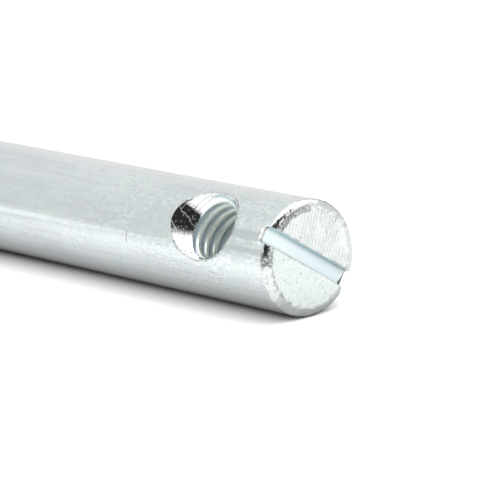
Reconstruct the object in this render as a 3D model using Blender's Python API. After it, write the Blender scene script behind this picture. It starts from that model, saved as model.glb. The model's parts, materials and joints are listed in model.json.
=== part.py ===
"""Cross dowel: a round steel rod that is pushed into a bored hole in wood, so that a
screw from the side can be drawn up in its threaded cross hole.

Metres, +Z up. The rod stands on its plain end with its axis on Z and the origin at the
centre of that end. The slotted end is at the top, and the countersunk mouth of the cross
hole faces -Y. The rod, the hole and the slot are turned, drilled and sawn from one bar,
so the whole object is one solid.
"""

import math

import bmesh
import bpy

# The bar
ROD_DIAMETER = 0.0100
ROD_LENGTH = 0.0600
EDGE_RADIAL = 0.0008  # how far each rounded end edge reaches in over the end face
EDGE_AXIAL = 0.00055  # and how far it reaches along the side

# The cross hole, with an M6 right-hand thread, countersunk on the side the screw enters
HOLE_FROM_SLOTTED_END = 0.0090
BORE_DIAMETER = 0.0050  # of the tapping drill, and so of the thread's crests
THREAD_DIAMETER = 0.0060  # across the bottom of the thread's grooves
THREAD_PITCH = 0.0010
THREAD_ANGLE = math.radians(60.0)
THREAD_PHASE = 0.30  # of a turn, by which the groove is turned on round the hole
MOUTH_DIAMETER = 0.00825  # of the countersink, at the height of the rod's crown
MOUTH_ANGLE = math.radians(90.0)
EXIT_DIAMETER = 0.0060  # of the light chamfer on the far side, at the rod's crown

# The screwdriver slot, which turns the hole to meet its screw and so runs parallel to it
SLOT_WIDTH = 0.0015
SLOT_DEPTH = 0.0011
SLOT_CORNER_RADIUS = 0.0004  # worn onto the saw blade's corners, and so left in the floor

# How finely round faces are divided
ROD_SEGMENTS = 96
HOLE_SEGMENTS = 40
EDGE_STEPS = 4
CORNER_STEPS = 4
SHARP_ANGLE = math.radians(30.0)

# Cutters reach this far past the metal that they cut
OVERSHOOT = 0.0010
BASE_INSIDE_BORE = 0.0001

ZINC_COLOUR = (0.80, 0.83, 0.86, 1.0)
ZINC_ROUGHNESS = 0.32

rod_radius = ROD_DIAMETER / 2
hole_height = ROD_LENGTH - HOLE_FROM_SLOTTED_END


def clear_scene():
    """Remove whatever objects the file was opened with."""
    for old in list(bpy.data.objects):
        bpy.data.objects.remove(old, do_unlink=True)


def turned_solid(name, profile, segments):
    """Spin a profile of (radius, height) points round Z into one closed solid.

    The profile starts and ends on the axis and runs from the bottom to the top.
    """
    mesh = bpy.data.meshes.new(name)
    bm = bmesh.new()
    points = [bm.verts.new((radius, 0.0, height)) for radius, height in profile]
    edges = [bm.edges.new(pair) for pair in zip(points, points[1:])]
    bmesh.ops.spin(
        bm,
        geom=points + edges,
        cent=(0.0, 0.0, 0.0),
        axis=(0.0, 0.0, 1.0),
        angle=2 * math.pi,
        steps=segments,
        use_merge=True,
    )
    bmesh.ops.remove_doubles(bm, verts=bm.verts, dist=1e-7)
    bmesh.ops.recalc_face_normals(bm, faces=bm.faces)
    bm.to_mesh(mesh)
    bm.free()
    solid = bpy.data.objects.new(name, mesh)
    bpy.context.collection.objects.link(solid)
    return solid


def rod_profile():
    """Half the rod's lengthwise section, with both end edges rounded as quarter ellipses."""
    profile = [(0.0, 0.0)]
    quarter = [math.pi / 2 * step / EDGE_STEPS for step in range(EDGE_STEPS + 1)]
    for turn in quarter:
        radius = rod_radius - EDGE_RADIAL * (1 - math.sin(turn))
        profile.append((radius, EDGE_AXIAL * (1 - math.cos(turn))))
    for turn in reversed(quarter):
        radius = rod_radius - EDGE_RADIAL * (1 - math.sin(turn))
        profile.append((radius, ROD_LENGTH - EDGE_AXIAL * (1 - math.cos(turn))))
    profile.append((0.0, ROD_LENGTH))
    return profile


def cone_depth(mouth_diameter):
    """Depth below the crown at which a countersink has narrowed to the bore."""
    return (mouth_diameter - BORE_DIAMETER) / 2 / math.tan(MOUTH_ANGLE / 2)


def hole_cutter():
    """The drilled hole as one turned cutter: countersink, bore and far chamfer.

    It is turned round Z and then laid along Y, with the countersink towards -Y.
    """
    bore_radius = BORE_DIAMETER / 2
    widening = OVERSHOOT * math.tan(MOUTH_ANGLE / 2)
    far_side = -rod_radius
    near_side = rod_radius
    profile = [
        (0.0, far_side - OVERSHOOT),
        (EXIT_DIAMETER / 2 + widening, far_side - OVERSHOOT),
        (bore_radius, far_side + cone_depth(EXIT_DIAMETER)),
        (bore_radius, near_side - cone_depth(MOUTH_DIAMETER)),
        (MOUTH_DIAMETER / 2 + widening, near_side + OVERSHOOT),
        (0.0, near_side + OVERSHOOT),
    ]
    cutter = turned_solid("hole_cutter", profile, HOLE_SEGMENTS)
    cutter.rotation_euler = (math.pi / 2, 0.0, 0.0)
    cutter.location = (0.0, 0.0, hole_height)
    return cutter


def thread_cutter():
    """The tap's tooth, swept along a right-hand helix through the whole hole.

    Its section is a trapezoid: a flat of an eighth of the pitch at the bottom of the
    groove, two flanks, and a base that stays inside the bore. It is swept up Z and then
    laid along Y like the hole cutter. Its corners stand half a step round from the
    bore's, so that no facet of the one lies along a facet of the other.
    """
    bore_radius = BORE_DIAMETER / 2
    groove_radius = THREAD_DIAMETER / 2
    flank = math.tan(THREAD_ANGLE / 2)
    tip = THREAD_PITCH / 16
    base_radius = bore_radius - BASE_INSIDE_BORE
    base = tip + (groove_radius - base_radius) * flank
    section = [
        (base_radius, -base),
        (groove_radius, -tip),
        (groove_radius, tip),
        (base_radius, base),
    ]
    reach = rod_radius + THREAD_PITCH
    turns = math.ceil(2 * reach / THREAD_PITCH)
    mesh = bpy.data.meshes.new("thread_cutter")
    bm = bmesh.new()
    sections = []
    for step in range(turns * HOLE_SEGMENTS + 1):
        turn = (step + 0.5) / HOLE_SEGMENTS
        angle = 2 * math.pi * turn
        rise = THREAD_PITCH * (turn + THREAD_PHASE - turns / 2)
        across, along = math.cos(angle), math.sin(angle)
        sections.append([
            bm.verts.new((radius * across, radius * along, rise + offset))
            for radius, offset in section
        ])
    for below, above in zip(sections, sections[1:]):
        for corner in range(len(section)):
            following = (corner + 1) % len(section)
            bm.faces.new((below[corner], below[following], above[following], above[corner]))
    bm.faces.new(sections[0])
    bm.faces.new(sections[-1])
    bmesh.ops.recalc_face_normals(bm, faces=bm.faces)
    bm.to_mesh(mesh)
    bm.free()
    cutter = bpy.data.objects.new("thread_cutter", mesh)
    bpy.context.collection.objects.link(cutter)
    cutter.rotation_euler = (math.pi / 2, 0.0, 0.0)
    cutter.location = (0.0, 0.0, hole_height)
    return cutter


def slot_section():
    """Points (across, height) round a saw blade's section, with its lower corners worn."""
    half = SLOT_WIDTH / 2
    floor = ROD_LENGTH - SLOT_DEPTH
    inset = half - SLOT_CORNER_RADIUS
    quarter = [math.pi / 2 * step / CORNER_STEPS for step in range(CORNER_STEPS + 1)]
    right = [
        (
            inset + SLOT_CORNER_RADIUS * math.sin(turn),
            floor + SLOT_CORNER_RADIUS * (1 - math.cos(turn)),
        )
        for turn in quarter
    ]
    top = ROD_LENGTH + OVERSHOOT
    left = [(-across, height) for across, height in reversed(right)]
    return right + [(half, top), (-half, top)] + left


def slot_cutter():
    """The saw blade's path across the top end, along Y and so parallel to the hole."""
    reach = rod_radius + OVERSHOOT
    mesh = bpy.data.meshes.new("slot_cutter")
    bm = bmesh.new()
    section = [bm.verts.new((across, -reach, height)) for across, height in slot_section()]
    face = bm.faces.new(section)
    pushed = bmesh.ops.extrude_face_region(bm, geom=[face])["geom"]
    far_end = [item for item in pushed if isinstance(item, bmesh.types.BMVert)]
    bmesh.ops.translate(bm, vec=(0.0, 2 * reach, 0.0), verts=far_end)
    bmesh.ops.recalc_face_normals(bm, faces=bm.faces)
    bm.to_mesh(mesh)
    bm.free()
    cutter = bpy.data.objects.new("slot_cutter", mesh)
    bpy.context.collection.objects.link(cutter)
    return cutter


def cut(body, cutter):
    """Take a cutter's volume out of the body and hide the cutter from renders."""
    boolean = body.modifiers.new(cutter.name, "BOOLEAN")
    boolean.operation = "DIFFERENCE"
    boolean.solver = "EXACT"
    boolean.object = cutter
    cutter.hide_render = True
    cutter.display_type = "WIRE"


def zinc_plate():
    """Bright bluish zinc plating, satin rather than mirror-like."""
    material = bpy.data.materials.new("zinc_plate")
    material.use_nodes = True
    shader = material.node_tree.nodes["Principled BSDF"]
    shader.inputs["Base Color"].default_value = ZINC_COLOUR
    shader.inputs["Metallic"].default_value = 1.0
    shader.inputs["Roughness"].default_value = ZINC_ROUGHNESS
    return material


def make_dowel():
    """The turned rod, cross-drilled, tapped and slotted."""
    dowel = turned_solid("dowel", rod_profile(), ROD_SEGMENTS)
    dowel.data.materials.append(zinc_plate())
    dowel.data.shade_smooth()
    dowel.data.set_sharp_from_angle(angle=SHARP_ANGLE)
    cut(dowel, hole_cutter())
    cut(dowel, thread_cutter())
    cut(dowel, slot_cutter())
    return dowel


clear_scene()
make_dowel()
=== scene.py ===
# %% [markdown]
# # A zinc-plated cross dowel
# A cross dowel is a steel rod that hides in a bored hole in wood. A screw comes in from
# the side, finds the threaded cross hole near one end, and pulls two boards together. A
# blade in the slot of the end face turns the rod until hole and screw line up.
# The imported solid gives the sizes. This lesson builds a finer skin over it, with a smooth
# thread, worn edges and burrs, and then gives each surface the finish that its tool left.

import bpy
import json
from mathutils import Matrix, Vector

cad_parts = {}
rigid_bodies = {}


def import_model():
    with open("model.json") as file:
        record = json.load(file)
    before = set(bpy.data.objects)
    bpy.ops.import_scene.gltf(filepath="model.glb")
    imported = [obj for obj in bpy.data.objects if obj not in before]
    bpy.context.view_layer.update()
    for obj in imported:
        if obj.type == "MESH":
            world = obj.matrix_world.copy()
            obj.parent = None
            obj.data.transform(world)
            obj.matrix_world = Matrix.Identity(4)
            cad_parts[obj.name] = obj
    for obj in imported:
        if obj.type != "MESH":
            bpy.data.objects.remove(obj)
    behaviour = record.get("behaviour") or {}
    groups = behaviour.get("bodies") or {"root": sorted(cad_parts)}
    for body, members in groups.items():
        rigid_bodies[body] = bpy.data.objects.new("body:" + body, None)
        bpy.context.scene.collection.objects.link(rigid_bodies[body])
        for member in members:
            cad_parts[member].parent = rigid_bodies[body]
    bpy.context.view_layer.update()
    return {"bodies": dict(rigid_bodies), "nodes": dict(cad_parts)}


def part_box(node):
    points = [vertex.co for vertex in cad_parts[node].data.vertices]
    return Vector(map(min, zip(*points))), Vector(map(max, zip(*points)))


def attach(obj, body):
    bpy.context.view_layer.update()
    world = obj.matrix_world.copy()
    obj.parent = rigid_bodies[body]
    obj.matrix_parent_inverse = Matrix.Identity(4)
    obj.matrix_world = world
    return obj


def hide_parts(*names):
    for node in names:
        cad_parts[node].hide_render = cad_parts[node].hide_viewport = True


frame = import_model()
print("nodes in the frame:", sorted(frame["nodes"]))

# %% [markdown]
# ## Sizes
# The rod stands on its plain end with its axis on Z. The hole and the slot both run along
# Y, and the countersunk mouth of the hole faces -Y. Everything is measured from the
# solid's box, so the skin follows the frame. The few sizes that a box can't tell are
# written here once.

# %% Driving sizes
import json
import math

import bmesh
import bpy
import numpy as np
from mathutils import Matrix, Vector, noise

MM = 0.001
dowel_low, dowel_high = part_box("dowel")
ROD_RADIUS = (dowel_high.x - dowel_low.x) / 2
ROD_LENGTH = dowel_high.z - dowel_low.z
EDGE_RADIAL = 0.80 * MM
EDGE_AXIAL = 0.55 * MM

HOLE_HEIGHT = ROD_LENGTH - 9.0 * MM
MOUTH_RADIUS = 4.125 * MM
EXIT_RADIUS = 3.0 * MM
CREST_RADIUS = 2.5 * MM
GROOVE_RADIUS = 3.0 * MM
THREAD_PITCH = 1.0 * MM

SLOT_WIDTH = 1.5 * MM
SLOT_DEPTH = 1.1 * MM
SLOT_CORNER = 0.40 * MM
LIP = 0.08 * MM
print(f"rod {2000 * ROD_RADIUS:.1f} mm thick and {1000 * ROD_LENGTH:.1f} mm long")

# %% [markdown]
# ## Writing formulas as nodes
# A thread is a formula: the radius of the wall depends on the angle round the hole and on
# the depth. Geometry Nodes can work out such a formula for every point of a grid, but a
# long formula is slow to wire by hand. This class wraps a node's output so that plain
# algebra adds the Math nodes: a * b adds a Multiply node and stands for its output. The
# shaders use it again later.

# %% Algebra that adds Math nodes
class Value:
    """A node's output to calculate with; each operation adds one Math node."""

    def __init__(self, socket):
        self.socket = socket
        self.tree = socket.id_data

    def __add__(self, other):
        return calculated("ADD", self, other)

    def __radd__(self, other):
        return calculated("ADD", other, self)

    def __sub__(self, other):
        return calculated("SUBTRACT", self, other)

    def __rsub__(self, other):
        return calculated("SUBTRACT", other, self)

    def __mul__(self, other):
        return calculated("MULTIPLY", self, other)

    def __truediv__(self, other):
        return calculated("DIVIDE", self, other)

    def __abs__(self):
        return calculated("ABSOLUTE", self)


def feed(socket, value):
    """Link a socket to a value, or set it to a plain one."""
    if isinstance(value, Value):
        value = value.socket
    if isinstance(value, bpy.types.NodeSocket):
        socket.id_data.links.new(value, socket)
    else:
        socket.default_value = value


def new_node(tree, kind, inputs=None, **settings):
    """A new node with its settings made and its inputs fed, by name or by number."""
    node = tree.nodes.new(kind)
    for name, setting in settings.items():
        setattr(node, name, setting)
    for label, value in (inputs or {}).items():
        feed(node.inputs[label], value)
    return node


def outputs_of(node):
    """A node's outputs by name."""
    return {socket.name: Value(socket) for socket in node.outputs}


def tree_of(*values):
    return next(value.tree for value in values if isinstance(value, Value))


def calculated(operation, *values):
    """The result of one Math node."""
    inputs = dict(enumerate(values))
    node = new_node(tree_of(*values), "ShaderNodeMath", inputs, operation=operation)
    return Value(node.outputs[0])


def root(value):
    return calculated("SQRT", value)


def larger(a, b):
    return calculated("MAXIMUM", a, b)


def xyz(place):
    """The three parts of a place."""
    node = new_node(place.tree, "ShaderNodeSeparateXYZ", {0: place})
    return [Value(socket) for socket in node.outputs]


# %% [markdown]
# ## The tapped wall
# On the real dowel a drill opens the hole, a countersink widens its mouth, and a tap cuts
# the M6 thread. A Screw modifier could sweep the tooth, but its ends would have to be cut
# against the cone and the rod. Here the wall is one grid wrapped round the hole instead.
# Each point keeps its angle and depth, and its radius is the largest of three shapes: the
# thread, the countersink and the light chamfer on the far side. A smooth maximum rounds
# the meeting lines a little, as plating does. The groove runs out just before the far
# mouth, where its feather edge would break off a real dowel too.
# The countersink is a 90 degree one, so it loses as much radius as it gains depth. That
# makes the curve where it meets the rod a quadratic, and the grid's first row can lie on
# that curve exactly.

# %% The wall's formula
WALL_COLUMNS = 212
WALL_ROWS = 184
CREST_ROUNDING = 0.11 * MM
CONE_ROUNDING = 0.03 * MM
GROOVE_FLAT = THREAD_PITCH / 16
FLANK_SLOPE = math.tan(math.radians(60))
GROOVE_TURN = 0.45

WALL_SIZES = {
    "Rod Radius": ROD_RADIUS,
    "Mouth Radius": MOUTH_RADIUS,
    "Exit Radius": EXIT_RADIUS,
    "Crest Radius": CREST_RADIUS,
    "Groove Radius": GROOVE_RADIUS,
    "Pitch": THREAD_PITCH,
    "Groove Turn": GROOVE_TURN,
    "Hole Height": HOLE_HEIGHT,
    "Lip": LIP,
}


def rim_radius(rod, mouth, sine_squared):
    """Radius at which a 90 degree cone meets the rod, for one angle round the hole."""
    offset = rod - mouth
    widening = sine_squared + 1.0
    rest = rod * rod - offset * offset
    return (root(offset * offset + widening * rest) - offset) / widening


def wall_radius(size, around, depth, last_depth):
    """Radius of the wall at an angle (in turns) and a depth along Y."""
    pitches = around - depth / size["Pitch"] + size["Groove Turn"]
    away = abs(pitches - calculated("ROUND", pitches))
    climb = away * size["Pitch"] - GROOVE_FLAT
    flank = size["Groove Radius"] - climb * FLANK_SLOPE
    run_out = size["Crest Radius"] + (last_depth - depth)
    groove = calculated("SMOOTH_MIN", flank, size["Groove Radius"], CREST_ROUNDING)
    groove = calculated("SMOOTH_MIN", groove, run_out, CREST_ROUNDING)
    thread = calculated("SMOOTH_MAX", groove, size["Crest Radius"], CREST_ROUNDING)
    near = size["Mouth Radius"] - (size["Rod Radius"] + depth)
    far = size["Exit Radius"] - (size["Rod Radius"] - depth)
    return calculated("SMOOTH_MAX", thread, larger(near, far), CONE_ROUNDING)


# %% [markdown]
# A node group shows its inputs by name, so a size can be changed later without opening
# it. These two helpers begin and end such a group, for geometry here and for the surface
# effects further down.

# %% Helpers for node groups
SOCKET_KINDS = {float: "Float", int: "Int", tuple: "Vector", bpy.types.Material: "Material"}
OUTPUT_KINDS = {"GEOMETRY": "Geometry", "RGBA": "Color", "VALUE": "Float"}


def new_group(kind, name, inputs):
    """A node group with a named input for each value, and those inputs by name."""
    group = bpy.data.node_groups.new(name, kind)
    for label, value in inputs.items():
        socket_type = "NodeSocket" + SOCKET_KINDS[type(value)]
        socket = group.interface.new_socket(label, in_out="INPUT", socket_type=socket_type)
        socket.default_value = value
    return group, outputs_of(new_node(group, "NodeGroupInput"))


def with_outputs(group, outputs):
    """The group once it puts out these values under these names."""
    for label, value in outputs.items():
        socket_type = "NodeSocket" + OUTPUT_KINDS[value.socket.type]
        group.interface.new_socket(label, in_out="OUTPUT", socket_type=socket_type)
    new_node(group, "NodeGroupOutput", outputs)
    return group


# %% [markdown]
# The tree starts from a plain grid one unit wide. Its X becomes the turn round the hole,
# and its Y becomes the depth between the two mouths. The tree ends in Realize Instances
# and Set Material, so that whatever reads it later gets a plain mesh with its finish.

# %% The wall's node tree
def mouth_depths(size, sine_squared):
    """Depths of the wall's first and last row, each a lip's width inside the rod."""
    rod = size["Rod Radius"]
    near_rim = rim_radius(rod, size["Mouth Radius"], sine_squared)
    near_height = near_rim + (rod - size["Mouth Radius"])
    far_rim = larger(rim_radius(rod, size["Exit Radius"], sine_squared), size["Crest Radius"])
    far_height = root(rod * rod - far_rim * far_rim * sine_squared)
    return size["Lip"] - near_height, far_height - size["Lip"]


def build_wall_tree():
    tree, size = new_group("GeometryNodeTree", "tapped wall", wall_values)
    grid = new_node(tree, "GeometryNodeMeshGrid", {
        "Size X": 1.0,
        "Size Y": 1.0,
        "Vertices X": size["Columns"] + 1,
        "Vertices Y": size["Rows"] + 1,
    })
    x, y, z = xyz(outputs_of(new_node(tree, "GeometryNodeInputPosition"))["Position"])
    around, along = x + 0.5, y + 0.5
    angle = around * (2 * math.pi)
    sine = calculated("SINE", angle)
    first, last = mouth_depths(size, sine * sine)
    depth = first + along * (last - first)
    radius = wall_radius(size, around, depth, last)
    rise = radius * calculated("COSINE", angle) + size["Hole Height"]
    place = new_node(tree, "ShaderNodeCombineXYZ", {"X": radius * sine, "Y": depth, "Z": rise})

    moves = {"Geometry": grid.outputs["Mesh"], "Position": place.outputs[0]}
    wrapped = new_node(tree, "GeometryNodeSetPosition", moves)
    real = new_node(tree, "GeometryNodeRealizeInstances", {0: wrapped.outputs[0]})
    wears = {"Geometry": real.outputs[0], "Material": size["Material"]}
    finished = new_node(tree, "GeometryNodeSetMaterial", wears)
    return with_outputs(tree, outputs_of(finished))


thread_finish = bpy.data.materials.new("tapped_thread")
wall_values = dict(WALL_SIZES, Columns=WALL_COLUMNS, Rows=WALL_ROWS, Material=thread_finish)
wall_tree = build_wall_tree()
print("the wall's formula takes", len(wall_tree.nodes), "nodes")

# %% [markdown]
# A modifier's inputs are stored under identifiers, not names, so the values are set by
# looking each identifier up. The evaluated result is copied to a plain mesh, and the
# object that carried the modifier is no longer needed. The grid's points come out column
# by column, which makes them easy to read back as an array.

# %% Run the tree and read its points
def placed(name, data):
    """A new object in the scene that carries some data."""
    item = bpy.data.objects.new(name, data)
    bpy.context.collection.objects.link(item)
    return item


def plain_mesh_from(tree, values, name):
    """Run a Geometry Nodes tree on an empty mesh and return the result as a mesh."""
    carrier = placed(name, bpy.data.meshes.new(name))
    modifier = carrier.modifiers.new(name, "NODES")
    modifier.node_group = tree
    for item in tree.interface.items_tree:
        if item.in_out == "INPUT" and item.name in values:
            modifier[item.identifier] = values[item.name]
    graph = bpy.context.evaluated_depsgraph_get()
    mesh = bpy.data.meshes.new_from_object(carrier.evaluated_get(graph))
    bpy.data.objects.remove(carrier)
    return mesh


wall_mesh = plain_mesh_from(wall_tree, wall_values, "tapped_wall")
wall_points = np.empty(len(wall_mesh.vertices) * 3)
wall_mesh.vertices.foreach_get("co", wall_points)
wall = wall_points.reshape(WALL_COLUMNS + 1, WALL_ROWS + 1, 3)
wall[-1] = wall[0]
print("wall:", len(wall_mesh.polygons), "faces, finishes", list(wall_mesh.materials))

# %% [markdown]
# ## One skin from patches
# The rod is one piece of steel, so its skin should be one closed mesh. A Boolean would
# join the shapes, but it leaves long thin faces that shade badly on a shiny metal. The
# skin is sewn from regular patches instead: the side of the rod, a collar round each
# mouth of the hole, the rounded end edges, the two halves of the slotted face, and the
# slot. Neighbours share the same border points, so merging doubles closes every seam.
# This helper collects the patches. A patch is a grid of points with the finish it wears.

# %% A collector for patches
FINISHES = ["rolled_side", "sawn_face", "tumbled_edge", "countersink", "tapped_thread", "slot"]


class Skin:
    """Gathers grids of points and turns them into one mesh."""

    def __init__(self):
        self.mesh = bmesh.new()

    def patch(self, rows, finish, skip=None):
        """Add quads between rows of points; skip(row, column) leaves an opening."""
        corners = [[self.mesh.verts.new(point) for point in row] for row in rows]
        for i, (low, high) in enumerate(zip(corners, corners[1:])):
            for j in range(len(low) - 1):
                if skip and skip(i, j):
                    continue
                face = self.mesh.faces.new((low[j], low[j + 1], high[j + 1], high[j]))
                face.material_index = FINISHES.index(finish)
                face.smooth = True

    def sew(self, distance):
        """Merge the borders, drop what the openings left over and turn faces outward."""
        loose = [vert for vert in self.mesh.verts if not vert.link_faces]
        bmesh.ops.delete(self.mesh, geom=loose, context="VERTS")
        bmesh.ops.remove_doubles(self.mesh, verts=self.mesh.verts, dist=distance)
        bmesh.ops.recalc_face_normals(self.mesh, faces=self.mesh.faces)

    def open_edges(self):
        return sum(1 for edge in self.mesh.edges if len(edge.link_faces) != 2)


def spread(start, stop, count):
    """count + 1 evenly spaced values, both ends included."""
    return [start + (stop - start) * step / count for step in range(count + 1)]


def crowded(start, stop, count, power):
    """Like spread, but closer together near the start."""
    return [start + (stop - start) * (step / count) ** power for step in range(count + 1)]


skin = Skin()

# %% [markdown]
# ## The rod's columns
# The columns of the side aren't evenly spaced. They fall on the points of the slot's
# section, whose corners are rounded, and on the edges of the window that is left open for
# each mouth of the hole. They crowd together beside the slot, where burrs will be pushed
# out later. Turn 0 faces -Y, and turns grow towards +X.

# %% Columns round the rod
WINDOW_TURN = math.radians(50.0)
WINDOW_REACH = 4.9 * MM
CORNER_STEPS = 4
SLOT_FLAT_STEPS = 8
BESIDE_SLOT = 22
CROWDING = 1.3
BETWEEN_WINDOWS = 46
WINDOW_ROWS = 46


def slot_section():
    """Points (across, rise) of the slot's floor, from one wall to the other."""
    flat = SLOT_WIDTH / 2 - SLOT_CORNER
    arc = spread(0.0, math.pi / 2, CORNER_STEPS)
    right = [(flat + SLOT_CORNER * math.sin(t), SLOT_CORNER * (1 - math.cos(t))) for t in arc]
    left = [(-across, rise) for across, rise in reversed(right)]
    middle = [(across, 0.0) for across in spread(-flat, flat, SLOT_FLAT_STEPS)[1:-1]]
    return left + middle + right


section = slot_section()
slot_columns = len(section) - 1
slot_turns = [math.asin(across / ROD_RADIUS) for across, rise in section]
slot_turn = slot_turns[-1]
beside_near = crowded(slot_turn, WINDOW_TURN, BESIDE_SLOT, CROWDING)
beside_far = [math.pi - turn for turn in reversed(beside_near)]
between = spread(WINDOW_TURN, math.pi - WINDOW_TURN, BETWEEN_WINDOWS)
near_half = slot_turns[:-1] + beside_near[:-1] + between[:-1] + beside_far[:-1]
half_count = len(near_half)
turns = near_half + [turn + math.pi for turn in near_half] + [near_half[0] + 2 * math.pi]
window_columns = slot_columns + 2 * BESIDE_SLOT
assert 2 * (window_columns + WINDOW_ROWS) == WALL_COLUMNS == 2 * half_count
print(2 * half_count, "columns round the rod")


def on_rod(turn, height, radius=ROD_RADIUS):
    return (radius * math.sin(turn), -radius * math.cos(turn), height)


# %% [markdown]
# ## The side of the rod
# The long plain stretch needs few rows. The rows are close together beside the hole, so
# that the collar can join them, and they crowd towards the slot's floor, where the burr
# will be. In the slot's own columns the last rows bend down to the floor.

# %% Rows along the rod
BARREL_ROWS = 26
NECK_ROWS = 26
NECK_CROWDING = 1.7
SLOT_ROWS = 3

window_low = HOLE_HEIGHT - WINDOW_REACH
window_high = HOLE_HEIGHT + WINDOW_REACH
floor_height = ROD_LENGTH - SLOT_DEPTH
corner_height = floor_height + SLOT_CORNER
shoulder = ROD_LENGTH - EDGE_AXIAL
neck = crowded(corner_height, window_high, NECK_ROWS, NECK_CROWDING)[::-1]
levels = (
    spread(EDGE_AXIAL, window_low, BARREL_ROWS)[:-1]
    + spread(window_low, window_high, WINDOW_ROWS)[:-1]
    + neck[:-1]
    + spread(corner_height, shoulder, SLOT_ROWS)
)
window_row = BARREL_ROWS
neck_row = window_row + WINDOW_ROWS
slot_row = neck_row + NECK_ROWS


def in_slot(column):
    return column % half_count < slot_columns


def in_window(column):
    return (column + BESIDE_SLOT) % half_count < window_columns


def side_height(row, column):
    """A row's height, lowered to the slot's floor in the slot's own columns."""
    height = levels[row]
    place = column % half_count
    if place <= slot_columns and row > neck_row:
        share = min(1.0, (height - window_high) / (corner_height - window_high))
        height -= (corner_height - floor_height - section[place][1]) * share
    return height


def side_opening(row, column):
    """True inside the two windows and above the slot's floor."""
    window = window_row <= row < neck_row and in_window(column)
    return window or (row >= slot_row and in_slot(column))


side_rows = [
    [on_rod(turn, side_height(row, column)) for column, turn in enumerate(turns)]
    for row in range(len(levels))
]
skin.patch(side_rows, "rolled_side", side_opening)
print(len(levels), "rows along the rod")

# %% [markdown]
# ## Collars and lips
# A collar runs from the edge of its square window in to the round mouth. Its points are
# placed by turn and height, so that they stay on the rod. The lip where the rod meets the
# cone is rounded by one row in between, because no drilled and tumbled edge is razor
# sharp.

# %% A collar for each mouth
COLLAR_RINGS = 10


def window_border(side_turn):
    """The window's points from the middle of its top, clockwise, as (turn, height)."""
    middle = slot_columns // 2 + (0 if side_turn == 0 else half_count)
    reach = window_columns // 2
    across = [turns[(middle + k) % (2 * half_count)] for k in range(-reach, reach + 1)]
    across = [(turn - side_turn + math.pi) % (2 * math.pi) - math.pi for turn in across]
    heights = levels[window_row:neck_row + 1]
    top = [(turn, window_high) for turn in across]
    right = [(across[-1], height) for height in reversed(heights)]
    bottom = [(turn, window_low) for turn in reversed(across)]
    left = [(across[0], height) for height in heights]
    return top[reach:-1] + right[:-1] + bottom[:-1] + left[:-1] + top[:reach + 1]


def widened(ring, extra, facing):
    """The ring moved onto the rod's surface, with its radius round the hole grown."""
    grown = []
    for point in ring:
        radius = math.hypot(point[0], point[2] - HOLE_HEIGHT)
        scale = (radius + extra) / radius
        x = point[0] * scale
        y = facing * math.sqrt(ROD_RADIUS**2 - x**2)
        grown.append(Vector((x, y, HOLE_HEIGHT + (point[2] - HOLE_HEIGHT) * scale)))
    return grown


def collar(side_turn, rim, border):
    """Rings from a window's border to the mouth, and over the lip to the wall."""
    facing = -1 if side_turn == 0 else 1
    outer = widened(rim, 2 * LIP, facing)
    corner = widened(rim, LIP, facing)
    inner = [Vector(point) for point in rim]
    middle = [0.5 * c + 0.25 * (a + b) for a, b, c in zip(outer, inner, corner)]
    rings = []
    for share in spread(0.0, 1.0, COLLAR_RINGS):
        ring = []
        for (turn, height), point in zip(border, outer):
            own_turn = -facing * math.asin(point.x / ROD_RADIUS)
            mixed = turn + (own_turn - turn) * share
            ring.append(on_rod(mixed + side_turn, height + (point.z - height) * share))
        rings.append(ring)
    skin.patch(rings, "rolled_side")
    skin.patch([outer, middle, inner], "tumbled_edge")


def mirrored(border):
    return [(-turn, height) for turn, height in border]


near_mouth = [tuple(wall[column, 0]) for column in range(WALL_COLUMNS + 1)]
far_mouth = [tuple(wall[column, -1]) for column in range(WALL_COLUMNS + 1)]
collar(0.0, near_mouth, window_border(0.0))
collar(math.pi, far_mouth, mirrored(window_border(math.pi)))

# %% [markdown]
# The wall itself joins the skin in two patches, because the countersink is bright and
# smooth while the thread below it is duller. The border runs where the cone has narrowed
# to the thread.

# %% The wall joins the skin
CONE_FIT = 0.01 * MM
wall_rows = [[tuple(point) for point in row] for row in wall.transpose(1, 0, 2)]


def on_cone(row, column):
    """True where the wall still follows the countersink."""
    x, y, z = wall_rows[row + 1][column]
    cone = MOUTH_RADIUS - ROD_RADIUS - y
    return y < 0 and abs(math.hypot(x, z - HOLE_HEIGHT) - cone) < CONE_FIT


skin.patch(wall_rows, "countersink", lambda row, column: not on_cone(row, column))
skin.patch(wall_rows, "tapped_thread", on_cone)

# %% [markdown]
# ## The rounded ends
# Both ends were tumbled until their edges went round. The rounding is a quarter of an
# ellipse, wider over the face than along the side. At the slotted end each ring stops at
# the slot's two walls, so its turns are squeezed a little as its radius shrinks.

# %% End edges
EDGE_RINGS = 12
FACE_RADIUS = ROD_RADIUS - EDGE_RADIAL

# (radius, height) from the shoulder over the edge to the end face
profile = [
    (FACE_RADIUS + EDGE_RADIAL * math.cos(t), shoulder + EDGE_AXIAL * math.sin(t))
    for t in spread(0.0, math.pi / 2, EDGE_RINGS)
]
half_turns = turns[slot_columns:half_count + 1]


def squeezed(turn, radius):
    """A turn of the side, moved so that its ring ends at the slot's walls."""
    own = math.asin(SLOT_WIDTH / 2 / radius)
    return own + (turn - slot_turn) * (math.pi - 2 * own) / (math.pi - 2 * slot_turn)


for side in (0.0, math.pi):
    rings = [
        [on_rod(squeezed(turn, radius) + side, height, radius) for turn in half_turns]
        for radius, height in profile
    ]
    skin.patch(rings, "tumbled_edge")

plain_edge = [
    [on_rod(turn, ROD_LENGTH - height, radius) for turn in turns]
    for radius, height in profile
]
skin.patch(plain_edge, "tumbled_edge")
print(2 * EDGE_RINGS, "rings round the two ends")

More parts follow.
